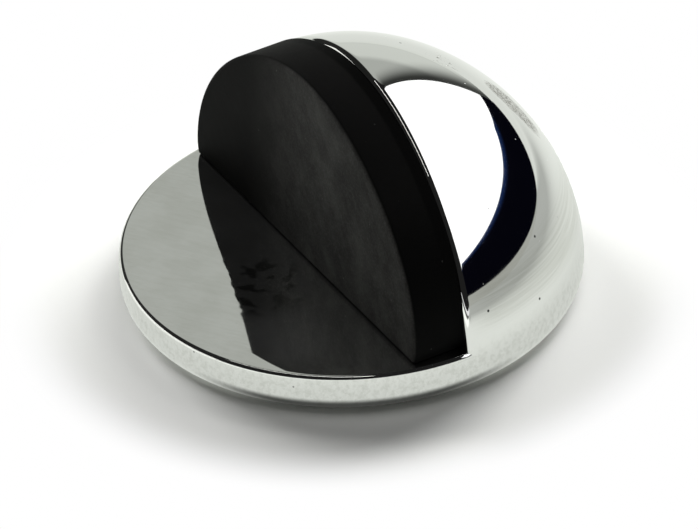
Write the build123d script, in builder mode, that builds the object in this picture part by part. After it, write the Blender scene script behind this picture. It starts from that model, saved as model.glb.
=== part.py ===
"""Half-moon floor door stop: a hollow die-cast dome with a flat lip in front of it, and a rubber buffer.

Millimetres, +Z up, origin on the floor under the middle of the round foot, buffer facing -Y.
"""

import os
from math import cos, radians, sin, tan

from build123d import *

os.makedirs("parts", exist_ok=True)

# Outer form of the casting
body_diameter = 45.0
body_height = 24.6
foot_diameter = 42.0
widest_level = 1.9
lip_inset = 0.14
lip_height = 4.2
lip_edge_radius = 0.35
dome_side_reach = 11.6
dome_top_reach = 9.5

# Upright face behind the buffer: it leans back, as a casting's draft
face_lean = 3.5
face_setback = 0.0
face_edge_break = 0.35

# Hollow underside: it narrows to a shoulder and then to a flat roof
mouth_wall = 3.0
shoulder_inset = 6.0
shoulder_level = 11.5
roof_wall = 6.0
roof_diameter = 17.0
face_wall = 3.0
lip_wall = 2.4

# Boss with the tapped hole for the floor fixing
boss_setback = 8.0
boss_end_diameter = 10.0
boss_root_diameter = 11.0
boss_recess = 0.5
thread_core_diameter = 5.0
thread_depth = 12.0

# Rubber buffer
buffer_thickness = 5.3
buffer_side_margin = 1.25
buffer_top_margin = 0.35
buffer_heel_tuck = 0.35
buffer_heel_height = 1.8
buffer_side_reach = 9.4
buffer_top_reach = 10.3
buffer_edge_break = 0.3
buffer_seat_gap = 0.05

# Headed pegs that hold the buffer in the face wall
peg_spacing = 20.0
peg_level = 7.5
peg_diameter = 4.0
peg_hole_clearance = 0.1
peg_head_diameter = 6.0
peg_head_length = 1.6
peg_tip_diameter = 4.4

body_radius = body_diameter / 2
foot_radius = foot_diameter / 2
lean = radians(face_lean)

# The rim's side in the half section, from its widest point up to the lip's level
rim = TangentArc(
    (body_radius, widest_level),
    (body_radius - lip_inset, lip_height),
    tangent=(0, 1),
)

# The face seen from the front: local x across, local y up the slope, local z out of the face
face_plane = Plane(
    origin=(0, face_setback, lip_height),
    x_dir=(1, 0, 0),
    z_dir=(0, -cos(lean), sin(lean)),
)
backwards = (Align.CENTER, Align.CENTER, Align.MAX)
peg_points = [(-peg_spacing / 2, peg_level), (peg_spacing / 2, peg_level)]


def disc_section(edge_radius):
    """Half section of the low round part: rolled in at the foot, flat on top, its top edge rounded or sharp."""
    with BuildSketch(Plane.YZ) as section:
        with BuildLine():
            add(rim)
            roll = TangentArc(rim @ 0, (foot_radius, 0), tangent=(0, -1))
            Polyline(roll @ 1, (0, 0), (0, lip_height), rim @ 1)
        make_face()
        if edge_radius:
            top_corner = vertices().group_by(Axis.Y)[-1].sort_by(Axis.X)[-1]
            fillet(top_corner, edge_radius)
    return section.sketch


# Lip: the half disc in front of the face, with a rounded edge
with BuildPart() as lip:
    revolve(disc_section(lip_edge_radius), axis=Axis.Z)
    split(bisect_by=face_plane, keep=Keep.TOP)

# Base: the half disc that the dome stands on
with BuildPart() as base:
    revolve(disc_section(0), axis=Axis.Z)
    split(bisect_by=face_plane, keep=Keep.BOTTOM)

# Dome: what stands on the base behind the leaning face, with its cut edge broken
with BuildPart() as dome:
    with BuildSketch(Plane.YZ):
        with BuildLine():
            crown = Bezier(
                rim @ 1,
                rim @ 1 + (rim % 1) * dome_side_reach,
                (dome_top_reach, body_height),
                (0, body_height),
            )
            Polyline(crown @ 1, (0, lip_height), crown @ 0)
        make_face()
    revolve(axis=Axis.Z)
    split(bisect_by=face_plane, keep=Keep.BOTTOM)
    cut_face = dome.faces().filter_by(GeomType.PLANE).sort_by(Axis.Z)[-1]
    cut_rim = cut_face.edges().filter_by(GeomType.LINE, reverse=True)
    chamfer(cut_rim, face_edge_break)

# Core: the tapered room under the casting, less the face wall, the lip and the boss
with BuildPart() as core:
    with BuildSketch(Plane.YZ):
        with BuildLine():
            roof_level = body_height - roof_wall
            Polyline(
                (0, 0),
                (body_radius - mouth_wall, 0),
                (body_radius - shoulder_inset, shoulder_level),
                (roof_diameter / 2, roof_level),
                (0, roof_level),
                close=True,
            )
        make_face()
    revolve(axis=Axis.Z)
    with BuildSketch(Plane.YZ):
        with BuildLine():
            lip_underside = lip_height - lip_wall
            face_back = face_setback + face_wall / cos(lean)
            Polyline(
                (face_back - tan(lean) * lip_wall, lip_underside),
                (face_back + tan(lean) * (body_height - lip_height), body_height),
                (-body_diameter, body_height),
                (-body_diameter, lip_underside),
                close=True,
            )
        make_face()
    extrude(amount=body_diameter, both=True, mode=Mode.SUBTRACT)
    with Locations((0, boss_setback, boss_recess)):
        Cone(
            boss_end_diameter / 2,
            boss_root_diameter / 2,
            body_height,
            align=(Align.CENTER, Align.CENTER, Align.MIN),
            mode=Mode.SUBTRACT,
        )

# Body: chrome-plated casting
with BuildPart() as body:
    add(lip.part)
    add(base.part)
    add(dome.part)
    add(core.part, mode=Mode.SUBTRACT)
    with Locations(Plane((0, boss_setback, boss_recess), z_dir=(0, 0, -1))):
        Hole(thread_core_diameter / 2, depth=thread_depth)
    with Locations(face_plane):
        with Locations(*peg_points):
            Hole(peg_diameter / 2 + peg_hole_clearance, depth=2 * face_wall)
body.part.label = "body"

# Buffer: moulded rubber pad that stands on the lip against the face, with its two pegs
with BuildPart() as buffer:
    half_width = body_radius - buffer_side_margin
    pad_height = (body_height - buffer_top_margin - lip_height) / cos(lean)
    with BuildSketch(face_plane):
        with BuildLine():
            flank = Bezier(
                (half_width, buffer_heel_height),
                (half_width, buffer_heel_height + buffer_side_reach),
                (buffer_top_reach, pad_height),
                (0, pad_height),
            )
            heel = TangentArc(
                flank @ 0,
                (half_width - buffer_heel_tuck, buffer_seat_gap),
                tangent=(0, -1),
            )
            Line(heel @ 1, (0, buffer_seat_gap))
            mirror(about=Plane.YZ)
        make_face()
    extrude(amount=buffer_thickness, dir=(0, -1, 0))
    front_face = buffer.faces().filter_by(GeomType.PLANE).sort_by(Axis.Y)[0]
    chamfer(front_face.edges(), buffer_edge_break)
    peg_length = face_wall + peg_hole_clearance
    with Locations(face_plane):
        with Locations(*peg_points):
            Cylinder(peg_diameter / 2, peg_length, align=backwards)
    with Locations(face_plane.offset(-peg_length)):
        with Locations(*peg_points):
            Cone(peg_tip_diameter / 2, peg_head_diameter / 2, peg_head_length, align=backwards)
buffer.part.label = "buffer"

export_step(body.part, "parts/body.step")
export_step(buffer.part, "parts/buffer.step")
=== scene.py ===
"""Half-moon floor door stop, chromed casting and black rubber buffer, lying on a pale table."""

import math

import bpy
from mathutils import Matrix, Vector


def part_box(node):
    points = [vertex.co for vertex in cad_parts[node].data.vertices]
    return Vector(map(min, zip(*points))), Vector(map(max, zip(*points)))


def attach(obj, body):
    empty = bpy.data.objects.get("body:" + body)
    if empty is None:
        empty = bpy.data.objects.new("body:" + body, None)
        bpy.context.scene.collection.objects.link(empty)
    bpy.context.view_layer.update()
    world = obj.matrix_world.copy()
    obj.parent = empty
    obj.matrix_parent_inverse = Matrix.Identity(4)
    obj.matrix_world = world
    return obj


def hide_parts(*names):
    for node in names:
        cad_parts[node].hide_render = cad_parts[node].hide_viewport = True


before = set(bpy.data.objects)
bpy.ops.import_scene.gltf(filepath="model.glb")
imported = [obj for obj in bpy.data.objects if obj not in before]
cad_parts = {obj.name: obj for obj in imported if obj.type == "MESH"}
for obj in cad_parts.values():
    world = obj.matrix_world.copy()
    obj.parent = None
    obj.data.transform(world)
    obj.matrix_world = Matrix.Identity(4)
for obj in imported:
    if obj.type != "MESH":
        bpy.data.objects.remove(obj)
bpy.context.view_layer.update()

MM = 0.001
PHOTO_WIDTH = 698

# Casting, in millimetres
body_low, body_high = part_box("body")
BODY_RADIUS = (body_high[0] - body_low[0]) / 2 / MM
BODY_HEIGHT = 24.6
FOOT_RADIUS = 21.0
WIDEST_LEVEL = 1.9
LIP_HEIGHT = 4.2
LIP_INSET = 0.14
DOME_SIDE_REACH = 11.6
DOME_TOP_REACH = 9.5
FACE_LEAN = math.radians(3.5)
EDGE_RADIUS = 0.4
EDGE_STEPS = 10
CUT_RADIUS = 0.62
CUT_SPREAD = math.radians(0.45)
DOME_STEPS = 138
LIP_STEPS = 100
RIM_STEPS = 24
SLICES = 110
QUARTER_ROUND = 0.5523
LIP_START = LIP_HEIGHT - EDGE_RADIUS
FLAT_MARGIN = 0.12
SMOOTH_ANGLE = math.radians(35)

# How close two points or surfaces count as one, in millimetres, the least turn, and the steps of a search
MERGE = 0.0005
SEAM_MERGE = 0.002
TOUCH = 0.001
FLAT_TOUCH = 0.002
BISECT_TOUCH = 1e-6
SLIGHT_REACH = 1e-4
SLIGHT_TURN = 1e-6
PROFILE_HALVINGS = 50
DOME_HALVINGS = 40

# Hollow underside and boss, in millimetres
MOUTH_RADIUS = 19.5
SHOULDER_RADIUS = 16.5
SHOULDER_LEVEL = 11.5
ROOF_RADIUS = 8.5
ROOF_LEVEL = 18.6
FACE_WALL = 3.0
LIP_UNDERSIDE = 1.8
BOSS_SETBACK = 8.0
BOSS_END_RADIUS = 5.0
BOSS_ROOT_RADIUS = 5.5
BOSS_RECESS = 0.5
THREAD_RADIUS = 2.5
THREAD_DEPTH = 12.0
CORE_STEPS = 144
CORE_OVERLAP = 1
BLOCK_SIZE = Vector((60, 30, 40))
BLOCK_LIFT = 12
HOLE_CORNERS = 96

# Rubber buffer and its pegs, in millimetres
PAD_THICKNESS = 5.3
PAD_HALF_WIDTH = 21.25
PAD_HEIGHT = 20.05
PAD_HEEL_TUCK = 0.35
PAD_HEEL_HEIGHT = 1.8
PAD_SIDE_REACH = 9.4
PAD_TOP_REACH = 10.3
PAD_EDGE_RADIUS = 0.4
PAD_EDGE_STEPS = 6
PAD_SEAT_GAP = 0.05
PAD_FLANK_STEPS = 40
PAD_STRAIGHT = math.radians(0.2)
PAD_MERGE = 0.05
PAD_FACE_AREA = 100
SAME_WAY = 0.999
HEEL_STEPS = 3
PEG_OFFSET = 10.0
PEG_LEVEL = 7.5
PEG_RADIUS = 2.0
PEG_HOLE_RADIUS = 2.1
PEG_LENGTH = 3.1
PEG_HEAD_RADIUS = 3.0
PEG_TIP_RADIUS = 2.2
PEG_HEAD_LENGTH = 1.6
PEG_CORNERS = 48

# Directions and half section of the casting
face_normal = Vector((0, -math.cos(FACE_LEAN), math.sin(FACE_LEAN)))
face_up = Vector((0, math.sin(FACE_LEAN), math.cos(FACE_LEAN)))
face_foot = Vector((0, 0, LIP_HEIGHT))
cut_corner = (CUT_RADIUS - EDGE_RADIUS * math.sin(FACE_LEAN)) / math.cos(FACE_LEAN)
rim_rise = LIP_HEIGHT - WIDEST_LEVEL
rim_turn = 2 * math.atan(LIP_INSET / rim_rise)
lip_radius = BODY_RADIUS - LIP_INSET
rim_end = Vector((-math.sin(rim_turn), math.cos(rim_turn)))
lip_corner = Vector((lip_radius, LIP_HEIGHT))
rim_knots = (
    Vector((BODY_RADIUS, WIDEST_LEVEL)),
    Vector((BODY_RADIUS, WIDEST_LEVEL + rim_rise / 3)),
    lip_corner - rim_end * rim_rise / 3,
    lip_corner,
)
crown_knots = (
    lip_corner,
    lip_corner + rim_end * DOME_SIDE_REACH,
    Vector((DOME_TOP_REACH, BODY_HEIGHT)),
    Vector((0, BODY_HEIGHT)),
)
BACKWARDS = -math.pi / 2 - FACE_LEAN

# Camera: the photograph's view, fitted to the outlines of the lip, the dome and the buffer
CAMERA_FOCAL_PIXELS = 7706.8
CAMERA_AZIMUTH = math.radians(61.82)
CAMERA_ELEVATION = math.radians(35.05)
CAMERA_ROLL = math.radians(-3.01)
CAMERA_DISTANCE = 741.2
CAMERA_TARGET = Vector((0, 0, 9.574))
CAMERA_SENSOR = 36
CAMERA_CLIP = 0.01
TARGET_PIXELS_RIGHT = -0.9
TARGET_PIXELS_UP = 70.23


def add_camera():
    """A long lens whose middle lies below the dome, as in the photograph."""
    back = Vector((
        math.sin(CAMERA_AZIMUTH) * math.cos(CAMERA_ELEVATION),
        -math.cos(CAMERA_AZIMUTH) * math.cos(CAMERA_ELEVATION),
        math.sin(CAMERA_ELEVATION),
    ))
    level_right = Vector((0, 0, 1)).cross(back).normalized()
    level_up = back.cross(level_right)
    right = level_right * math.cos(CAMERA_ROLL) + level_up * math.sin(CAMERA_ROLL)
    up = level_up * math.cos(CAMERA_ROLL) - level_right * math.sin(CAMERA_ROLL)
    pixel = CAMERA_DISTANCE / CAMERA_FOCAL_PIXELS
    middle = CAMERA_TARGET - right * TARGET_PIXELS_RIGHT * pixel - up * TARGET_PIXELS_UP * pixel
    place = CAMERA_TARGET + back * CAMERA_DISTANCE
    aim = (place - middle).normalized()
    aim_right = up.cross(aim).normalized()
    aim_up = aim.cross(aim_right)
    bpy.ops.object.camera_add(location=place * MM)
    camera = bpy.context.object
    camera.name = "photo_camera"
    camera.rotation_euler = Matrix((aim_right, aim_up, aim)).transposed().to_euler()
    camera.data.sensor_width = CAMERA_SENSOR
    camera.data.lens = CAMERA_SENSOR * CAMERA_FOCAL_PIXELS / PHOTO_WIDTH
    camera.data.clip_start = CAMERA_CLIP
    bpy.context.scene.camera = camera


# Modelling tools
def deselect():
    """Leave nothing selected and no object in edit mode."""
    if bpy.context.object and bpy.context.object.mode != "OBJECT":
        bpy.ops.object.mode_set(mode="OBJECT")
    bpy.ops.object.select_all(action="DESELECT")


def take(piece):
    """Make one object the only selected and active one."""
    deselect()
    piece.select_set(True)
    bpy.context.view_layer.objects.active = piece


def line_of(name, points, resolution, closed=False):
    """A mesh line along a Bezier curve, given as (handle, point, handle) triples in millimetres."""
    deselect()
    bpy.ops.curve.primitive_bezier_curve_add()
    curve = bpy.context.object
    curve.name = name
    curve.data.resolution_u = resolution
    spline = curve.data.splines[0]
    spline.bezier_points.add(len(points) - len(spline.bezier_points))
    spline.use_cyclic_u = closed
    for knot, (before, place, after) in zip(spline.bezier_points, points):
        knot.handle_left_type = "FREE"
        knot.handle_right_type = "FREE"
        knot.handle_left = Vector(before) * MM
        knot.co = Vector(place) * MM
        knot.handle_right = Vector(after) * MM
    bpy.ops.object.convert(target="MESH")
    return bpy.context.object


def edit(piece, kind="VERT"):
    """Go into edit mode with nothing selected."""
    take(piece)
    bpy.ops.object.mode_set(mode="EDIT")
    bpy.ops.mesh.select_mode(type=kind)
    bpy.ops.mesh.select_all(action="DESELECT")


def pick(piece, kind, wanted):
    """Select the vertices, edges or faces whose middle passes a test, given in millimetres."""
    edit(piece, kind)
    bpy.ops.object.mode_set(mode="OBJECT")
    mesh = piece.data
    if kind == "VERT":
        for vertex in mesh.vertices:
            vertex.select = wanted(vertex.co / MM)
    elif kind == "EDGE":
        for edge in mesh.edges:
            one, two = (mesh.vertices[end].co for end in edge.vertices)
            edge.select = wanted((one + two) / 2 / MM)
    else:
        for polygon in mesh.polygons:
            polygon.select = wanted(polygon.center / MM)
    bpy.ops.object.mode_set(mode="EDIT")


def turn_round(piece, steps):
    """Spin a half section about the upright axis into a closed skin."""
    edit(piece)
    bpy.ops.mesh.select_all(action="SELECT")
    bpy.ops.mesh.spin(steps=steps, angle=math.tau, center=(0, 0, 0), axis=(0, 0, 1))
    bpy.ops.mesh.select_all(action="SELECT")
    bpy.ops.mesh.remove_doubles(threshold=MERGE * MM)
    bpy.ops.mesh.normals_make_consistent(inside=False)
    bpy.ops.object.mode_set(mode="OBJECT")


def cut(piece, tool, operation="DIFFERENCE"):
    """Apply a boolean with another object, which is then thrown away."""
    take(piece)
    boolean = piece.modifiers.new(operation.lower(), "BOOLEAN")
    boolean.operation = operation
    boolean.solver = "EXACT"
    boolean.object = tool
    bpy.ops.object.modifier_apply(modifier=boolean.name)
    bpy.data.objects.remove(tool)


def rod(radius_low, radius_high, depth, place, turn=0.0, corners=HOLE_CORNERS):
    """A round tool or peg whose axis is upright, then turned about X, with its low end at its place."""
    deselect()
    bpy.ops.mesh.primitive_cone_add(
        vertices=corners,
        radius1=radius_low * MM,
        radius2=radius_high * MM,
        depth=depth * MM,
        location=(0, 0, depth * MM / 2),
    )
    piece = bpy.context.object
    bpy.ops.object.transform_apply()
    piece.rotation_euler = (turn, 0, 0)
    piece.location = Vector(place) * MM
    bpy.ops.object.transform_apply()
    return piece


# Casting
def bezier(knots, share):
    """A point of a cubic Bezier curve, and its direction, from four knots."""
    rest = 1 - share
    one, two, three, four = knots
    place = one * rest**3 + two * (3 * rest**2 * share) + three * (3 * rest * share**2) + four * share**3
    heading = (two - one) * rest**2 + (three - two) * (2 * rest * share) + (four - three) * share**2
    return place, heading.normalized()


def profile(share):
    """The half section as (radius, height): 0 to 1 up the rim, 1 to 2 over the dome."""
    if share < 1:
        return bezier(rim_knots, share)
    return bezier(crown_knots, share - 1)


def profile_share(height):
    """Where the profile reaches a height."""
    low, high = 0.0, 2.0
    for _ in range(PROFILE_HALVINGS):
        middle = (low + high) / 2
        if profile(middle)[0].y < height:
            low = middle
        else:
            high = middle
    return (low + high) / 2


def dome_point(direction):
    """Where a line from the cut's inner corner meets the dome."""
    low, high = profile_share(LIP_START), 2.0
    for _ in range(DOME_HALVINGS):
        middle = (low + high) / 2
        radius, height = profile(middle)[0]
        reach = (height - LIP_START) / direction.z
        across = reach * direction.x
        back = cut_corner + reach * direction.y
        if across * across + back * back < radius * radius:
            low = middle
        else:
            high = middle
    return Vector((across, back, height))


def casting_outside():
    """The turned foot and rim, and the dome as slices that fan out from the cut's inner corner."""
    start_radius = profile(profile_share(LIP_START))[0].x
    corner_angle = math.asin(cut_corner / start_radius)
    roll_in = QUARTER_ROUND * (BODY_RADIUS - FOOT_RADIUS)
    roll_up = QUARTER_ROUND * WIDEST_LEVEL
    section = [
        ((FOOT_RADIUS, 0), (FOOT_RADIUS, 0), (FOOT_RADIUS + roll_in, 0)),
        ((BODY_RADIUS, WIDEST_LEVEL - roll_up), rim_knots[0], rim_knots[1]),
        (rim_knots[2], rim_knots[3], rim_knots[3]),
    ]
    points = []
    for knot in section:
        around = (math.cos(corner_angle), math.sin(corner_angle))
        points.append([(radius * around[0], radius * around[1], height) for radius, height in knot])
    casting = line_of("chromed_casting", points, RIM_STEPS)
    edit(casting)
    bpy.ops.mesh.select_all(action="SELECT")
    bpy.ops.mesh.bisect(
        plane_co=(0, 0, LIP_START * MM),
        plane_no=(0, 0, 1),
        clear_outer=True,
        threshold=BISECT_TOUCH * MM,
    )
    bpy.ops.mesh.select_all(action="SELECT")
    back_arc = (DOME_STEPS, math.pi - 2 * corner_angle)
    front_arc = (LIP_STEPS, math.pi + 2 * corner_angle)
    for steps, angle in (back_arc, front_arc):
        bpy.ops.mesh.spin(steps=steps, angle=angle, center=(0, 0, 0), axis=(0, 0, -1))
    pick(casting, "VERT", lambda place: place.z < TOUCH)
    bpy.ops.mesh.remove_doubles(threshold=MERGE * MM)
    bpy.ops.mesh.edge_face_add()
    bpy.ops.object.mode_set(mode="OBJECT")
    deselect()
    bpy.ops.mesh.primitive_grid_add(x_subdivisions=DOME_STEPS, y_subdivisions=SLICES, size=2)
    dome = bpy.context.object
    for vertex in dome.data.vertices:
        across = (vertex.co.x + 1) / 2
        raised = (vertex.co.y + 1) / 2 * (math.pi / 2 - FACE_LEAN - CUT_SPREAD)
        around = corner_angle + across * (math.pi - 2 * corner_angle)
        ring = Vector((start_radius * math.cos(around), start_radius * math.sin(around), LIP_START))
        outwards = ring - Vector((0, cut_corner, LIP_START))
        if raised > SLIGHT_TURN and outwards.y > SLIGHT_REACH:
            direction = (outwards.x, outwards.y * math.cos(raised), outwards.y * math.sin(raised))
            ring = dome_point(Vector(direction))
        vertex.co = ring * MM
    casting.select_set(True)
    bpy.context.view_layer.objects.active = casting
    bpy.ops.object.join()
    edit(casting)
    bpy.ops.mesh.select_all(action="SELECT")
    bpy.ops.mesh.remove_doubles(threshold=SEAM_MERGE * MM)
    bpy.ops.mesh.normals_make_consistent(inside=False)
    bpy.ops.object.mode_set(mode="OBJECT")
    return casting


def round_rims(casting):
    """Roll the open rim over in small steps, inwards: up at the lip, and forwards at the dome."""
    edit(casting, "EDGE")
    bpy.ops.mesh.select_non_manifold(extend=False)
    bpy.ops.object.mode_set(mode="OBJECT")
    mesh = casting.data
    starts = {}
    for vertex in mesh.vertices:
        if vertex.select:
            place = vertex.co / MM
            heading = profile(profile_share(place.z))[1]
            radial = Vector((place.x, place.y, 0)).normalized()
            starts[vertex.index] = (place, radial * heading.y - Vector((0, 0, heading.x)))
    came_from = {index: index for index in starts}
    for step in range(1, EDGE_STEPS + 1):
        bpy.ops.object.mode_set(mode="EDIT")
        bpy.ops.mesh.extrude_edges_move()
        bpy.ops.object.mode_set(mode="OBJECT")
        mesh = casting.data
        fresh = {}
        for edge in mesh.edges:
            one, two = edge.vertices
            if mesh.vertices[one].select and two in came_from and not mesh.vertices[two].select:
                fresh[one] = came_from[two]
            if mesh.vertices[two].select and one in came_from and not mesh.vertices[one].select:
                fresh[two] = came_from[one]
        for index, first in fresh.items():
            mesh.vertices[index].co = rolled(*starts[first], step / EDGE_STEPS) * MM
        came_from = fresh


def rolled(start, normal, share):
    """Where a point of the open rim has got to after a share of its turn, from its own slope to flat."""
    on_lip = abs(start.z - LIP_START) < TOUCH
    on_face = not on_lip or abs(start.y - cut_corner) < TOUCH
    radial = Vector((start.x, start.y, 0)).normalized()
    place = start.copy()
    if on_lip:
        out, inwards = roll_of(normal.z, share, EDGE_RADIUS)
        place += Vector((0, 0, out)) - radial * inwards
    if on_face:
        radius = (face_foot - start).dot(face_normal)
        out, face_inwards = roll_of(normal.dot(face_normal), share, radius)
        if on_lip:
            place -= radial * (face_inwards - inwards)
            depth = (place.z - LIP_HEIGHT) * math.sin(FACE_LEAN) + radius - out
            place.y = depth / math.cos(FACE_LEAN)
        else:
            flat_normal = (normal - face_normal * normal.dot(face_normal)).normalized()
            place += face_normal * out - flat_normal * face_inwards
    return place


def roll_of(slope, share, radius):
    """How far out and how far inwards a rim point is after a share of its turn."""
    first = math.asin(slope)
    angle = first + (math.pi / 2 - first) * share
    out = radius * (math.sin(angle) - slope) / (1 - slope)
    inwards = radius * (math.cos(first) - math.cos(angle))
    return out, inwards


def close_lip_and_face(casting):
    """Fill the flat lip and the flat face, each with a narrow margin that keeps its middle flat."""
    def on_face(place):
        in_plane = abs((place - face_foot).dot(face_normal)) < FLAT_TOUCH
        return in_plane and place.z > LIP_HEIGHT - FLAT_TOUCH

    def on_lip(place):
        level = abs(place.z - LIP_HEIGHT) < FLAT_TOUCH
        return level and (place - face_foot).dot(face_normal) > -FLAT_TOUCH

    pick(casting, "VERT", lambda place: on_face(place) and on_lip(place))
    bpy.ops.mesh.edge_face_add()
    for flat in (on_lip, on_face):
        pick(casting, "EDGE", flat)
        bpy.ops.mesh.edge_face_add()
        bpy.ops.mesh.select_mode(type="FACE")
        bpy.ops.mesh.inset(thickness=FLAT_MARGIN * MM, use_even_offset=False)
    edit(casting)
    bpy.ops.mesh.select_all(action="SELECT")
    bpy.ops.mesh.normals_make_consistent(inside=False)
    bpy.ops.object.mode_set(mode="OBJECT")


def casting_core():
    """The hollow under the casting: a turned room, less the lip and face walls and the boss."""
    corners = [
        (0, -CORE_OVERLAP),
        (MOUTH_RADIUS, -CORE_OVERLAP),
        (MOUTH_RADIUS, 0),
        (SHOULDER_RADIUS, SHOULDER_LEVEL),
        (ROOF_RADIUS, ROOF_LEVEL),
        (0, ROOF_LEVEL),
    ]
    points = [((0, *corner), (0, *corner), (0, *corner)) for corner in corners]
    core = line_of("core", points, 1)
    turn_round(core, CORE_STEPS)
    deselect()
    bpy.ops.mesh.primitive_cube_add(size=1)
    front = bpy.context.object
    front.scale = BLOCK_SIZE * MM
    front.rotation_euler = (-FACE_LEAN, 0, 0)
    wall_back = Vector((0, FACE_WALL / math.cos(FACE_LEAN), LIP_HEIGHT))
    front.location = (wall_back + face_normal * BLOCK_SIZE.y / 2 + face_up * BLOCK_LIFT) * MM
    bpy.ops.object.transform_apply()
    edit(front)
    bpy.ops.mesh.select_all(action="SELECT")
    bpy.ops.mesh.bisect(
        plane_co=(0, 0, LIP_UNDERSIDE * MM),
        plane_no=(0, 0, 1),
        clear_inner=True,
        use_fill=True,
    )
    bpy.ops.object.mode_set(mode="OBJECT")
    cut(core, front)
    boss = rod(BOSS_END_RADIUS, BOSS_ROOT_RADIUS, BODY_HEIGHT, (0, BOSS_SETBACK, BOSS_RECESS))
    cut(core, boss)
    return core


def model_casting():
    """Chromed casting with its hollow, tapped hole and peg holes."""
    casting = casting_outside()
    round_rims(casting)
    close_lip_and_face(casting)
    cut(casting, casting_core())
    cut(casting, rod(THREAD_RADIUS, THREAD_RADIUS, THREAD_DEPTH, (0, BOSS_SETBACK, BOSS_RECESS)))
    for side in (-1, 1):
        hole_start = face_foot + face_up * PEG_LEVEL + face_normal + Vector((side * PEG_OFFSET, 0, 0))
        cut(casting, rod(PEG_HOLE_RADIUS, PEG_HOLE_RADIUS, 2 * FACE_WALL, hole_start, BACKWARDS))
    take(casting)
    bpy.ops.object.shade_smooth_by_angle(angle=SMOOTH_ANGLE)
    return casting


# Rubber buffer
def on_face_plane(across, up):
    """A point of the face plane, from its distance across and its height above the lip."""
    return (across, up * math.tan(FACE_LEAN), LIP_HEIGHT + up)


def model_buffer():
    """D-shaped pad with a rounded front edge, and two headed pegs behind it."""
    heel_rise = PAD_HEEL_HEIGHT - PAD_SEAT_GAP
    heel_turn = 2 * math.atan(PAD_HEEL_TUCK / heel_rise)
    heel_radius = heel_rise / math.sin(heel_turn)
    half = []
    for step in range(HEEL_STEPS, 0, -1):
        turn = heel_turn * step / HEEL_STEPS
        across = PAD_HALF_WIDTH - heel_radius * (1 - math.cos(turn))
        spot = (across, PAD_HEEL_HEIGHT - heel_radius * math.sin(turn))
        half.append((spot, spot, spot))
    flank = (PAD_HALF_WIDTH, PAD_HEEL_HEIGHT)
    half.append((flank, flank, (PAD_HALF_WIDTH, PAD_HEEL_HEIGHT + PAD_SIDE_REACH)))
    crown = [((PAD_TOP_REACH, PAD_HEIGHT), (0, PAD_HEIGHT), (-PAD_TOP_REACH, PAD_HEIGHT))]
    mirrored = []
    for before, place, after in reversed(half):
        mirrored.append(((-after[0], after[1]), (-place[0], place[1]), (-before[0], before[1])))
    points = []
    for knot in half + crown + mirrored:
        points.append([on_face_plane(*spot) for spot in knot])
    buffer = line_of("rubber_buffer", points, PAD_FLANK_STEPS, closed=True)
    edit(buffer)
    bpy.ops.mesh.select_all(action="SELECT")
    bpy.ops.mesh.dissolve_limited(angle_limit=PAD_STRAIGHT)
    bpy.ops.mesh.select_all(action="SELECT")
    bpy.ops.mesh.remove_doubles(threshold=PAD_MERGE * MM)
    bpy.ops.mesh.select_all(action="SELECT")
    bpy.ops.mesh.edge_face_add()
    bpy.ops.mesh.extrude_region_move(TRANSFORM_OT_translate={"value": (0, -PAD_THICKNESS * MM, 0)})
    bpy.ops.mesh.bevel(offset=PAD_EDGE_RADIUS * MM, segments=PAD_EDGE_STEPS, affect="EDGES")
    bpy.ops.mesh.select_all(action="SELECT")
    bpy.ops.mesh.normals_make_consistent(inside=False)
    bpy.ops.object.mode_set(mode="OBJECT")
    for front in (True, False):
        flat_faces(buffer, front)
        bpy.ops.mesh.inset(thickness=FLAT_MARGIN * MM)
        bpy.ops.object.mode_set(mode="OBJECT")
    pieces = [buffer]
    for side in (-1, 1):
        root = face_foot + face_up * PEG_LEVEL + Vector((side * PEG_OFFSET, 0, 0))
        pieces.append(rod(PEG_RADIUS, PEG_RADIUS, PEG_LENGTH, root, BACKWARDS, PEG_CORNERS))
        neck = root - face_normal * PEG_LENGTH
        head = rod(PEG_HEAD_RADIUS, PEG_TIP_RADIUS, PEG_HEAD_LENGTH, neck, BACKWARDS, PEG_CORNERS)
        pieces.append(head)
    deselect()
    for piece in pieces:
        piece.select_set(True)
    bpy.context.view_layer.objects.active = buffer
    bpy.ops.object.join()
    bpy.ops.object.shade_smooth_by_angle(angle=SMOOTH_ANGLE)
    return buffer


def flat_faces(buffer, front):
    """Select the pad's large front or back face."""
    edit(buffer, "FACE")
    bpy.ops.object.mode_set(mode="OBJECT")
    wanted = face_normal if front else -face_normal
    for polygon in buffer.data.polygons:
        large = polygon.area > PAD_FACE_AREA * MM * MM
        polygon.select = large and polygon.normal.dot(wanted) > SAME_WAY
    bpy.ops.object.mode_set(mode="EDIT")


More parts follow.
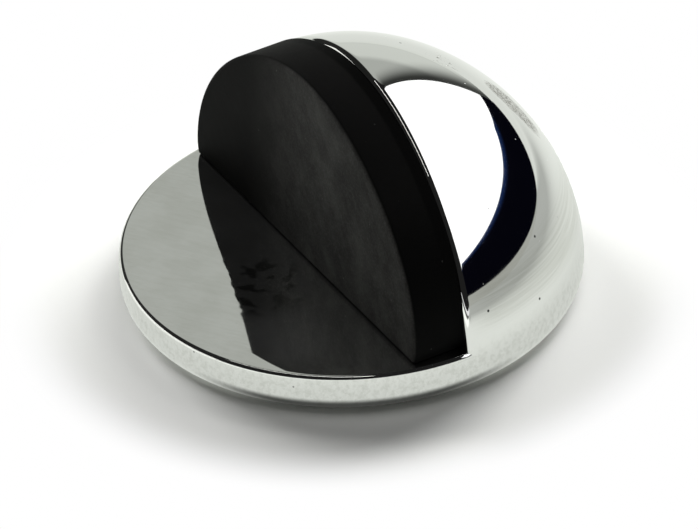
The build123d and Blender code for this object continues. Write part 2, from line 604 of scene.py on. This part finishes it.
# Finishes
class Shade:
    """A shader socket that can be used in sums, and that adds further nodes to its tree."""

    def __init__(self, tree, socket=None):
        self.tree = tree
        self.socket = socket

    def node(self, kind, settings=None, inputs=None, output=0):
        """Add a node: its settings first, then the values or links of its sockets."""
        node = self.tree.nodes.new(kind)
        for name, value in (settings or {}).items():
            setattr(node, name, value)
        for name, value in (inputs or {}).items():
            if isinstance(value, Shade):
                self.tree.links.new(value.socket, node.inputs[name])
            else:
                node.inputs[name].default_value = value
        return Shade(self.tree, node.outputs[output]) if node.outputs else None

    def maths(self, operation, first, second):
        return self.node("ShaderNodeMath", {"operation": operation}, {0: first, 1: second})

    def __add__(self, other):
        return self.maths("ADD", self, other)

    def __radd__(self, other):
        return self.maths("ADD", other, self)

    def __sub__(self, other):
        return self.maths("SUBTRACT", self, other)

    def __rsub__(self, other):
        return self.maths("SUBTRACT", other, self)

    def __mul__(self, other):
        return self.maths("MULTIPLY", self, other)

    def __rmul__(self, other):
        return self.maths("MULTIPLY", other, self)

    def at_most(self, other):
        return self.maths("MINIMUM", self, other)

    def at_least(self, other):
        return self.maths("MAXIMUM", self, other)

    def below(self, other):
        """One where this is less than the other, and zero elsewhere."""
        return self.maths("LESS_THAN", self, other)

    def band(self, low, high, first=0.0, last=1.0):
        """A smooth step from one value to another as this one goes from low to high."""
        return self.node(
            "ShaderNodeMapRange",
            {"interpolation_type": "SMOOTHSTEP"},
            {"Value": self, "From Min": low, "From Max": high, "To Min": first, "To Max": last},
        )


def new_finish(name):
    """A material with an empty tree, a pen that adds nodes to it, and the place in metres."""
    material = bpy.data.materials.new(name)
    material.use_nodes = True
    material.node_tree.nodes.clear()
    pen = Shade(material.node_tree)
    place = pen.node("ShaderNodeTexCoord", output="Object")
    return material, pen, place


def end_with(pen, shader):
    """End a material with its surface."""
    pen.node("ShaderNodeOutputMaterial", {}, {"Surface": shader})


def in_millimetres(pen, place):
    """A place in millimetres instead of metres."""
    return pen.node("ShaderNodeVectorMath", {"operation": "SCALE"}, {0: place, "Scale": 1 / MM})


def axes(pen, place):
    """The three coordinates of a place."""
    return [pen.node("ShaderNodeSeparateXYZ", {}, {0: place}, output=axis) for axis in range(3)]


def length_of(pen, vector):
    """The length of a vector."""
    return pen.node("ShaderNodeVectorMath", {"operation": "LENGTH"}, {0: vector}, output="Value")


def away_from(pen, place, spot):
    """The vector from a spot to the place on the piece."""
    return pen.node("ShaderNodeVectorMath", {"operation": "SUBTRACT"}, {0: place, 1: spot})


def distance_from(pen, place, spot):
    """The distance from a spot to the place on the piece."""
    return length_of(pen, away_from(pen, place, spot))


def reach_along(pen, vector, direction):
    """How far a vector reaches in a direction."""
    return pen.node(
        "ShaderNodeVectorMath",
        {"operation": "DOT_PRODUCT"},
        {0: vector, 1: direction},
        output="Value",
    )


def in_front(pen, place):
    """How far a place lies in front of the casting's face, in millimetres."""
    return reach_along(pen, away_from(pen, place, face_foot), face_normal)


def stretched(pen, place, scale, turn=(0, 0, 0)):
    """The place on the piece, turned and squeezed, for streaks."""
    return pen.node(
        "ShaderNodeMapping",
        {"vector_type": "TEXTURE"},
        {"Vector": place, "Rotation": turn, "Scale": scale},
    )


def noise(pen, place, scale, detail=2.0, roughness=0.5):
    """Cloudy noise of a size, as a value about one half."""
    return pen.node(
        "ShaderNodeTexNoise",
        {},
        {"Vector": place, "Scale": scale, "Detail": detail, "Roughness": roughness},
    )


def blend(pen, share, first, second):
    """A colour between two colours."""
    return pen.node("ShaderNodeMix", {"data_type": "RGBA"}, {0: share, 6: first, 7: second}, output=2)


def tinted(pen, level, tint):
    """A colour from a level and a tint."""
    return pen.node("ShaderNodeVectorMath", {"operation": "SCALE"}, {0: tint, "Scale": level})


def bumped(pen, height):
    """A surface normal from a height in millimetres."""
    return pen.node("ShaderNodeBump", {}, {"Strength": 1.0, "Distance": MM, "Height": height})


def specks(pen, place, scale, size, share):
    """Round specks in a share of the cells of a random pattern."""
    pattern = {"Vector": place, "Scale": scale}
    distance = pen.node("ShaderNodeTexVoronoi", {}, pattern, output="Distance")
    colour = pen.node("ShaderNodeTexVoronoi", {}, pattern, output="Color")
    chosen = axes(pen, colour)[0].below(share)
    return distance.band(size * SOFT_SHARE, size, 1.0, 0.0) * chosen


def on_casting(spot):
    """A spot moved straight out or in to the casting's side."""
    radial = Vector((spot[0], spot[1])).normalized() * profile(profile_share(spot[2]))[0].x
    return (radial.x, radial.y, spot[2])


def spot_marks(pen, place, spots, size):
    """Small round pits at given spots of the casting's side."""
    nearest = None
    for spot in spots:
        distance = distance_from(pen, place, on_casting(spot))
        nearest = distance if nearest is None else nearest.at_most(distance)
    return nearest.band(size * SOFT_SHARE, size, 1.0, 0.0)


# Chrome: its colours, its depths in millimetres and the places of its marks
CHROME_COLOUR = (0.78, 0.785, 0.775, 1)
WORN_COLOUR = (0.25, 0.245, 0.215, 1)
DULL_COLOUR = (0.6, 0.605, 0.58, 1)
SMEAR_COLOUR = (0.68, 0.685, 0.66, 1)
PIT_COLOUR = (0.03, 0.03, 0.03, 1)
INSIDE_COLOUR = (0.42, 0.42, 0.41, 1)
CHROME_ROUGHNESS = 0.028
CLOUD_ROUGHNESS = 0.015
RING_ROUGHNESS = 0.03
STREAK_ROUGHNESS = 0.06
RIM_ROUGHNESS = 0.08
WORN_ROUGHNESS = 0.4
DUST_ROUGHNESS = 0.4
INSIDE_ROUGHNESS = 0.35
WORN_METAL_LOSS = 0.25
DUST_METAL_LOSS = 0.35
WORN_GRAIN_HEIGHT = 0.02
RIPPLE_HEIGHT = 0.006
RING_DULL = 0.35
STREAK_DULL = 0.5
RIPPLE_DULL = 0.2
MOTTLE_DULL = 0.4
STREAK_SIZE = (10, 10, 0.24)
RIPPLE_SIZE = (0.6, 0.6, 1.5)
SOFT_SHARE = 0.6
SCUFF_PLACE = (4.4, 17.0, 16.9)
SCUFF_DIRECTION = (0.61, 0.435, -0.663)
SCUFF_LENGTHWISE = 0.034
SCUFF_SIDEWAYS = 0.2
SCUFF_RAGGED = 1.4
SCUFF_EVEN = 0.5
SCUFF_PITTED = 0.5
MARKS_PLACE = (0.0, 11.7, 21.9)
DUST_SCALE = 0.75
DUST_SIZE = 0.07
DUST_SHARE = 0.5
PIT_SIZE = 0.16
PIT_PLACES = [
    (22.5, 3.0, 7.6),
    (21.0, 9.7, 5.65),
    (18.4, 11.1, 10.85),
    (-3.5, 9.5, 22.4),
]
RIM_PIT_SIZE = 0.12
RIM_PIT_STRENGTH = 0.6
RIM_PIT_PLACES = [(7.4, -22.2, 3.7), (16.9, -16.3, 2.9)]
ROUND_FULLNESS = 0.001992
HIGH_FULLNESS = 0.001652

# The lip's slight relief, haze and smears, in millimetres
DISH_RADIUS = 9
DISH_CURVE = 0.0021875
ROLL_RADIUS = 20.2
ROLL_CURVE = 0.0166
RELIEF_RADIUS = 21.9
RELIEF_DEPTH = 0.316
DENT_HEIGHT = 0.008
DENT_PLACE = (0.5, -12.0, LIP_HEIGHT)
GREASY_PLACE = (10.5, -15.0, LIP_HEIGHT)
CLEAN_PLACE = (2.0, -10.8, LIP_HEIGHT)
HAZE = 0.012
CLOUDY_HAZE = 0.008
GREASY_HAZE = 0.02
CLEAN_SHARE = 0.85
SMEAR_SIZE = (2.6, 0.5, 1)
SMEAR_TURN = (0, 0, math.radians(35))
SMEAR_CLOUDY = 0.5
SMEAR_WIPED = 0.35


def worn_share(pen, place, clouds):
    """Where the plate is worn: one long scuffed patch, and a few marks near the top."""
    from_scuff = away_from(pen, place, SCUFF_PLACE)
    lengthwise = reach_along(pen, from_scuff, SCUFF_DIRECTION)
    reach = length_of(pen, from_scuff)
    sideways_square = (reach * reach - lengthwise * lengthwise).at_least(0)
    edge = lengthwise * lengthwise * SCUFF_LENGTHWISE + sideways_square * SCUFF_SIDEWAYS
    edge = edge + (clouds - 0.5) * SCUFF_RAGGED
    scuff = edge.band(0.55, 1.0, 1.0, 0.0)
    near_marks = distance_from(pen, place, MARKS_PLACE).band(1.2, 2.6, 1.0, 0.0)
    marks = near_marks * noise(pen, place, scale=2.2, detail=4.0, roughness=0.65).band(0.6, 0.68)
    pitting = noise(pen, place, scale=3.2, detail=4.0, roughness=0.7).band(0.46, 0.62)
    return (scuff * (SCUFF_EVEN + pitting * SCUFF_PITTED) + marks).at_most(1)


def pit_share(pen, place):
    """Small dark pits on the dome, and fainter ones on the rim."""
    dome_pits = spot_marks(pen, place, PIT_PLACES, PIT_SIZE)
    rim_pits = spot_marks(pen, place, RIM_PIT_PLACES, RIM_PIT_SIZE)
    return dome_pits.at_least(rim_pits * RIM_PIT_STRENGTH)


def inside_share(pen, place, radius, high):
    """Where the inside is: well within the round outside, and behind the face or under the lip."""
    fullness = radius * radius * ROUND_FULLNESS + high * high * HIGH_FULLNESS
    behind_face = in_front(pen, place).band(-1.5, -2.0)
    return fullness.band(0.9, 0.86) * behind_face.at_least(high.band(4.0, 3.9))


def lip_relief(pen, place, flat, back):
    """Height of the lip in millimetres: slightly dished, rolled off at its edge, uneven in one area."""
    radius = length_of(pen, flat).at_most(RELIEF_RADIUS)
    dish = (radius - DISH_RADIUS).at_least(0)
    roll = (radius - ROLL_RADIUS).at_least(0)
    height = dish * dish * DISH_CURVE - roll * roll * ROLL_CURVE - RELIEF_DEPTH
    uneven = distance_from(pen, place, DENT_PLACE).band(7.5, 3.0)
    dents = noise(pen, flat, scale=0.85, detail=0.0)
    return (height + uneven * dents * DENT_HEIGHT) * back.band(-1, -3)


def lip_haze(pen, place, flat, clouds):
    """Thin haze on the lip, greasy near one end, with clean blobs in its middle."""
    greasy = distance_from(pen, place, GREASY_PLACE).band(7.0, 2.5)
    blobs = noise(pen, flat, scale=0.62, detail=1.0).band(0.5, 0.62)
    clean = blobs * distance_from(pen, place, CLEAN_PLACE).band(5.5, 3.5)
    return (HAZE + clouds * CLOUDY_HAZE + greasy * GREASY_HAZE) * (1 - clean * CLEAN_SHARE)


def lip_smears(pen, flat):
    """Cloudy and wiped smears on the lip."""
    cloudy = noise(pen, flat, scale=0.22, detail=3.0).band(0.35, 0.65)
    streaky = stretched(pen, flat, SMEAR_SIZE, SMEAR_TURN)
    wiped = noise(pen, streaky, scale=1.0, detail=4.0, roughness=0.65).band(0.35, 0.7)
    return cloudy * SMEAR_CLOUDY + wiped * SMEAR_WIPED


def chrome_finish():
    """Bright chrome, worn, pitted and dusty, with a streaky ring, a mottled rim and a dull inside."""
    material, pen, place = new_finish("chrome")
    place = in_millimetres(pen, place)
    across, back, high = axes(pen, place)
    flat = pen.node("ShaderNodeCombineXYZ", {}, {0: across, 1: back})
    radius = length_of(pen, flat)
    clouds = noise(pen, place, scale=0.35, detail=3.0)
    worn = worn_share(pen, place, clouds)
    dust = specks(pen, place, DUST_SCALE, DUST_SIZE, DUST_SHARE) * high.band(5.0, 6.0)
    inside = inside_share(pen, place, radius, high)
    on_lip = back.band(-1, -3) * high.band(4.0, 4.15)

    streaks = noise(pen, stretched(pen, place, STREAK_SIZE), scale=1.0, detail=4.0, roughness=0.6)
    low_ring = high.band(12, 5) * back.band(0, 4)
    dull_ring = high.band(12, 9) * high.band(5.2, 7.2) * back.band(0, 4)
    ripples = noise(pen, stretched(pen, place, RIPPLE_SIZE), scale=1.0, detail=4.0, roughness=0.65)
    mottle = noise(pen, place, scale=1.9, detail=3.0, roughness=0.6).band(0.42, 0.66)
    rim = radius.band(22.0, 22.2) * high.band(4.1, 3.9)
    low_edge = radius.band(21.9, 22.15) * high.band(5.6, 2.8)
    dulled = dull_ring * (RING_DULL + streaks.band(0.3, 0.65) * STREAK_DULL)
    dulled = dulled + (ripples.band(0.4, 0.7) * RIPPLE_DULL + mottle * MOTTLE_DULL) * low_edge

    colour = blend(pen, worn, CHROME_COLOUR, WORN_COLOUR)
    colour = blend(pen, dulled.at_most(1), colour, DULL_COLOUR)
    colour = blend(pen, lip_smears(pen, flat) * on_lip, colour, SMEAR_COLOUR)
    colour = blend(pen, pit_share(pen, place), colour, PIT_COLOUR)
    colour = blend(pen, inside, colour, INSIDE_COLOUR)
    roughness = CHROME_ROUGHNESS + clouds.band(0.4, 0.7) * CLOUD_ROUGHNESS
    roughness = roughness + low_ring * (RING_ROUGHNESS + streaks * STREAK_ROUGHNESS) + rim * RIM_ROUGHNESS
    roughness = roughness + worn * WORN_ROUGHNESS + dust * DUST_ROUGHNESS + inside * INSIDE_ROUGHNESS
    haze = lip_haze(pen, place, flat, clouds) * on_lip
    metallic = 1 - worn * WORN_METAL_LOSS - dust * DUST_METAL_LOSS - haze
    grain = noise(pen, place, scale=7.0, detail=3.0, roughness=0.6)
    skin = lip_relief(pen, place, flat, back)
    skin = skin + grain * worn * WORN_GRAIN_HEIGHT + ripples * rim * RIPPLE_HEIGHT
    end_with(pen, pen.node("ShaderNodeBsdfPrincipled", {}, {
        "Base Color": colour,
        "Metallic": metallic,
        "Roughness": roughness,
        "Normal": bumped(pen, skin),
    }))
    return material


# Rubber: its levels, and its specks and grain in millimetres
RUBBER_TINT = (1.0, 1.0, 0.94)
FRONT_LEVEL = 0.033
FRONT_EVEN = 0.45
FRONT_CLOUDS = 0.4
FRONT_WIPES = 0.25
FRONT_SPECKLE = 0.35
# The sides' level is painted shade, far below the front's.
SHADED_SIDE_LEVEL = 0.0045
SPECK_LEVEL = 0.04
SPECK_SCALE = 0.9
SPECK_SIZE = 0.1
SPECK_SHARE = 0.35
RUBBER_ROUGHNESS = 0.62
WIPE_ROUGHNESS = 0.1
RUBBER_GLOSS = 0.06
RUBBER_GRAIN_HEIGHT = 0.012
WIPE_SIZE = (2.4, 1, 1)
WIPE_TURN = (0, math.radians(50), 0)


def rubber_finish():
    """Black moulded rubber: a mottled front with painted light and shade across it, sides painted darker
    as shade with a painted shadow next to the casting, and a few light specks.
    """
    material, pen, place = new_finish("rubber")
    place = in_millimetres(pen, place)
    across, _, high = axes(pen, place)
    front = in_front(pen, place)
    front_face = front.band(5.0, 5.25)
    clouds = noise(pen, place, scale=0.16, detail=5.0, roughness=0.6)
    turned = stretched(pen, place, WIPE_SIZE, WIPE_TURN)
    wipes = noise(pen, turned, scale=0.8, detail=5.0, roughness=0.65)
    speckle = noise(pen, place, scale=4.5, detail=3.0, roughness=0.7)
    mottle = FRONT_EVEN + clouds.band(0.35, 0.68) * FRONT_CLOUDS
    mottle = mottle + wipes.band(0.35, 0.7) * FRONT_WIPES + speckle.band(0.4, 0.75) * FRONT_SPECKLE
    # Painted light and shade: the front is painted far darker towards -X and lighter towards +X.
    mottle = mottle * across.band(-12, 2, 0.04, 1.6)
    light = specks(pen, place, SPECK_SCALE, SPECK_SIZE, SPECK_SHARE)
    light = light * noise(pen, place, scale=0.4).band(0.45, 0.6)
    # Painted shadow: the sides are painted almost black within about 1 mm of the casting's face, where
    # its edge shades them.
    casting_edge_shadow = front.band(0.9, 1.25, 0.02, 1.0)
    # Painted shade: the sides take a far lower level than the front, darker still towards the +X flank
    # and the top.
    side = casting_edge_shadow * across.band(13, 20, 1.0, 0.1) * high.band(16, 23, 1.0, 0.5)
    level = front_face * mottle * FRONT_LEVEL + (1 - front_face) * side * SHADED_SIDE_LEVEL + light * SPECK_LEVEL
    grain = noise(pen, place, scale=5.0, detail=4.0, roughness=0.65)
    end_with(pen, pen.node("ShaderNodeBsdfPrincipled", {}, {
        "Base Color": tinted(pen, level, RUBBER_TINT),
        "Roughness": RUBBER_ROUGHNESS + wipes * WIPE_ROUGHNESS,
        "Specular IOR Level": RUBBER_GLOSS,
        "Normal": bumped(pen, grain * RUBBER_GRAIN_HEIGHT),
    }))
    return material


# Stage: the table, the painted reflections that only the chrome sees, in metres, and the lamps
WHITE = (1, 1, 1, 1)
WINDOW_LIGHT = (1.6, 1.6, 1.6, 1)
BAND_BLACK = (0.0015, 0.0015, 0.004, 1)
BAND_BLUE = (0.012, 0.028, 0.1, 1)
BAND_SLOPE = 0.2168
BAND_TOP = 0.2945
EDGE_GREY = (0.46, 0.47, 0.43, 1)
ROOM_DARK = (0.015, 0.015, 0.015, 1)
FRONT_PALE = (1.3, 1.3, 1.25, 1)
LAMP_GLOW = (3.0, 3.0, 2.9, 1)
WALL_TINT = (0.965, 1.0, 0.93)
WALL_LEVEL = 0.73
WALL_HIGH_LOSS = 0.225
WALL_WINDOW_LOSS = 0.92
WALL_NEAR_LOSS = 0.97
SKIRTING_GAIN = 0.1
JOINT_LOSS = 0.07
TABLE_SIZE = 6
TABLE_COLOUR = (0.9, 0.905, 0.88, 1)
TABLE_TINT = (0.97, 1.0, 0.94)
TABLE_LEVEL = 0.92
TABLE_BEHIND_LOSS = 0.4
TABLE_LEFT_LOSS = 0.08
TABLE_CLOSE_LOSS = 0.13
TABLE_FRONT_GAIN = 0.4
TABLE_SHADOW_LOSS = 0.9
WORLD_LIGHT = 0.01
LAMP_DISTANCE = 0.9
LAMP_SIZE = 0.4


def glow_finish(name, colour_of):
    """A plain glow whose colour is worked out from the place in metres."""
    material, pen, place = new_finish(name)
    end_with(pen, pen.node("ShaderNodeEmission", {}, {"Color": colour_of(pen, place)}))
    return material


def even_glow(name, colour):
    """A glow of one colour."""
    return glow_finish(name, lambda pen, place: colour)


def wall_colour(pen, place):
    """Painted reflection of a light grey wall with a pale skirting, darker upwards, towards the window
    and at its near end.
    """
    _, back, high = axes(pen, place)
    upwards = high.band(0.45, 0.66)
    skirting = high.band(0.06, 0.09, 1.0, 0.0)
    joint = high.band(0.05, 0.07) * high.band(0.075, 0.1, 1.0, 0.0)
    towards_window = (back + high * 0.12).band(1.08, 1.6)
    near_end = back.band(0.34, 0.22) * high.band(0.04, 0.08)
    level = WALL_LEVEL - upwards * WALL_HIGH_LOSS + skirting * SKIRTING_GAIN - joint * JOINT_LOSS
    level = level * (1 - towards_window * WALL_WINDOW_LOSS) * (1 - near_end * WALL_NEAR_LOSS)
    return tinted(pen, level, WALL_TINT)


def band_colour(pen, place):
    """Painted reflection below the window: black, with a blue edge next to the light."""
    across, _, high = axes(pen, place)
    near_window = (high - across * BAND_SLOPE - BAND_TOP).band(-0.05, 0.0)
    return blend(pen, near_window, BAND_BLACK, BAND_BLUE)


def table_finish():
    """White table that takes the shadow and, to the camera, fades to plain white away from the casting;
    the chrome sees a painted reflection of it instead, pale, with painted shade and a painted shadow near
    the casting and a painted highlight in front of the lip.
    """
    material, pen, place = new_finish("table_white")
    across, back, _ = axes(pen, place)
    distance = length_of(pen, place)
    # The chrome's view of the table is painted: darker behind, to the left and far in front, with painted
    # shade close to the casting, a painted shadow under its front and a painted highlight band in front
    # of the lip.
    behind = (back + across * 0.5).band(0.035, 0.115) * across.band(-0.07, -0.02)
    far_left = across.band(-0.02, -0.1)
    close_by = distance.band(0.034, 0.024)
    in_shadow = (across * 0.88 - back * 0.47).band(0.015, 0.021) * distance.band(0.0242, 0.0224)
    in_front_of_lip = back.band(-0.028, -0.036)
    level = TABLE_LEVEL - behind * TABLE_BEHIND_LOSS - far_left * TABLE_LEFT_LOSS
    level = level - close_by * TABLE_CLOSE_LOSS + in_front_of_lip * TABLE_FRONT_GAIN
    level = level * (1 - in_shadow * TABLE_SHADOW_LOSS) * back.band(-0.1, -0.06, 0.1, 1.0)
    seen = pen.node("ShaderNodeEmission", {}, {"Color": tinted(pen, level, TABLE_TINT)})
    lit = pen.node("ShaderNodeBsdfDiffuse", {}, {"Color": TABLE_COLOUR})
    white = pen.node("ShaderNodeEmission", {}, {"Color": WHITE})
    camera_ray = pen.node("ShaderNodeLightPath", output="Is Camera Ray")
    glossy_ray = pen.node("ShaderNodeLightPath", output="Is Glossy Ray")
    faded = distance.band(0.0275, 0.035) * camera_ray
    surface = pen.node("ShaderNodeMixShader", {}, {0: faded, 1: lit, 2: white})
    end_with(pen, pen.node("ShaderNodeMixShader", {}, {0: glossy_ray, 1: surface, 2: seen}))
    return material


def card(name, corners, material):
    """A flat card through given corners in metres, which only the chrome sees: a painted reflection that
    lights nothing and casts no shadow.
    """
    deselect()
    bpy.ops.mesh.primitive_circle_add(vertices=len(corners), fill_type="NGON")
    piece = bpy.context.object
    piece.name = name
    for vertex, corner in zip(piece.data.vertices, corners):
        vertex.co = corner
    piece.data.materials.append(material)
    piece.visible_camera = False
    piece.visible_diffuse = False
    piece.visible_shadow = False


def set_stage():
    """White table, and painted reflections of a window behind with a dark band below it, a grey table
    edge, a grey wall, a dark room, a pale strip low in front and a ceiling lamp.
    """
    deselect()
    bpy.ops.mesh.primitive_plane_add(size=TABLE_SIZE)
    table = bpy.context.object
    table.name = "table"
    table.data.materials.append(table_finish())
    # Painted reflection of the window: a glow that lights nothing.
    card("window", [
        (-0.59, 1.0, 0.08),
        (-0.27, 1.0, 0.236),
        (1.9, 1.0, 0.705),
        (1.9, 1.0, 1.9),
        (-0.72, 1.0, 1.9),
    ], even_glow("window_light", WINDOW_LIGHT))
    # Painted reflection of the dark band below the window.
    card("dark_band", [
        (-0.60, 0.99, -0.05),
        (2.6, 0.99, 0.244),
        (2.6, 0.99, 0.856),
        (-0.27, 0.99, 0.236),
        (-0.60, 0.99, 0.09),
    ], glow_finish("band_dark", band_colour))
    # Painted grey reflection at the table's far edge.
    card("table_edge", [
        (-0.60, 1.02, -0.05),
        (3.4, 1.02, -0.05),
        (3.4, 1.02, 0.4),
        (-0.60, 1.02, 0.1),
    ], even_glow("edge_grey", EDGE_GREY))
    # Painted reflection of the far wall.
    card("far_wall", [
        (-1.0, -1.2, 0.0),
        (-1.0, 1.64, 0.0),
        (-1.0, 1.64, 2.0),
        (-1.0, -1.2, 2.0),
    ], glow_finish("wall_grey", wall_colour))
    # Painted shade in reflections: dark cards for the unlit room behind the camera, to the side and
    # overhead.
    dark = even_glow("room_dark", ROOM_DARK)
    card("dark_room", [
        (1.5, 0.7, 0.05),
        (0.3, -1.6, 0.05),
        (0.3, -1.6, 1.9),
        (1.5, 0.7, 1.9),
    ], dark)
    card("dark_side", [
        (0.4, -1.4, 0.05),
        (-1.1, -1.0, 0.05),
        (-1.1, -1.0, 1.9),
        (0.4, -1.4, 1.9),
    ], dark)
    card("ceiling", [
        (2.6, -1.8, 1.88),
        (2.6, 2.6, 1.88),
        (-2.4, 2.6, 1.88),
        (-2.4, -1.8, 1.88),
    ], dark)
    # Painted highlight: a pale glowing strip low in front, which the lip's edge reflects as a bright
    # line.
    card("pale_front", [
        (-0.95, -0.36, 0.0),
        (-0.05, -1.1, 0.0),
        (-0.05, -1.1, 0.2),
        (-0.95, -0.36, 0.3),
    ], even_glow("front_pale", FRONT_PALE))
    # Painted reflection of a ceiling lamp: a thin glow that lights nothing.
    card("ceiling_lamp", [
        (0.9, -0.35, 1.8),
        (0.9, -0.25, 1.8),
        (-0.9, -0.25, 1.8),
        (-0.9, -0.35, 1.8),
    ], even_glow("lamp_light", LAMP_GLOW))


def set_world():
    """White to the camera and in reflections, faint as light on the piece."""
    world = bpy.data.worlds.new("studio")
    bpy.context.scene.world = world
    world.use_nodes = True
    world.node_tree.nodes.clear()
    pen = Shade(world.node_tree)
    camera_ray = pen.node("ShaderNodeLightPath", output="Is Camera Ray")
    glossy_ray = pen.node("ShaderNodeLightPath", output="Is Glossy Ray")
    clear_ray = pen.node("ShaderNodeLightPath", output="Is Transmission Ray")
    seen = camera_ray.at_least(glossy_ray).at_least(clear_ray)
    strength = WORLD_LIGHT + seen * (1 - WORLD_LIGHT)
    glow = pen.node("ShaderNodeBackground", {}, {"Color": WHITE, "Strength": strength})
    pen.node("ShaderNodeOutputWorld", {}, {"Surface": glow})


def lamp(name, azimuth, elevation, power):
    """A soft lamp that points at the piece; azimuth runs from +Y towards +X, in degrees."""
    deselect()
    turn = math.radians(azimuth)
    rise = math.radians(elevation)
    away = Vector((
        math.sin(turn) * math.cos(rise),
        math.cos(turn) * math.cos(rise),
        math.sin(rise),
    ))
    bpy.ops.object.light_add(type="AREA", location=away * LAMP_DISTANCE)
    light = bpy.context.object
    light.name = name
    light.data.shape = "RECTANGLE"
    light.data.size = LAMP_SIZE
    light.data.size_y = LAMP_SIZE
    light.data.energy = power
    light.rotation_euler = away.to_track_quat("Z", "Y").to_euler()
    light.visible_glossy = False


casting = model_casting()
casting.name = "chromed_casting"
casting.data.materials.clear()
casting.data.materials.append(chrome_finish())
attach(casting, "root")
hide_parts("body")

buffer = model_buffer()
buffer.data.materials.clear()
buffer.data.materials.append(rubber_finish())
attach(buffer, "root")
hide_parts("buffer")

set_stage()
set_world()
lamp("left_lamp", azimuth=-98, elevation=25, power=7.2)
lamp("back_lamp", azimuth=-44, elevation=40, power=2.4)
lamp("right_lamp", azimuth=-26, elevation=25, power=9)
lamp("top_lamp", azimuth=-62, elevation=85, power=1.4)
add_camera()
bpy.context.scene.view_settings.view_transform = "Standard"
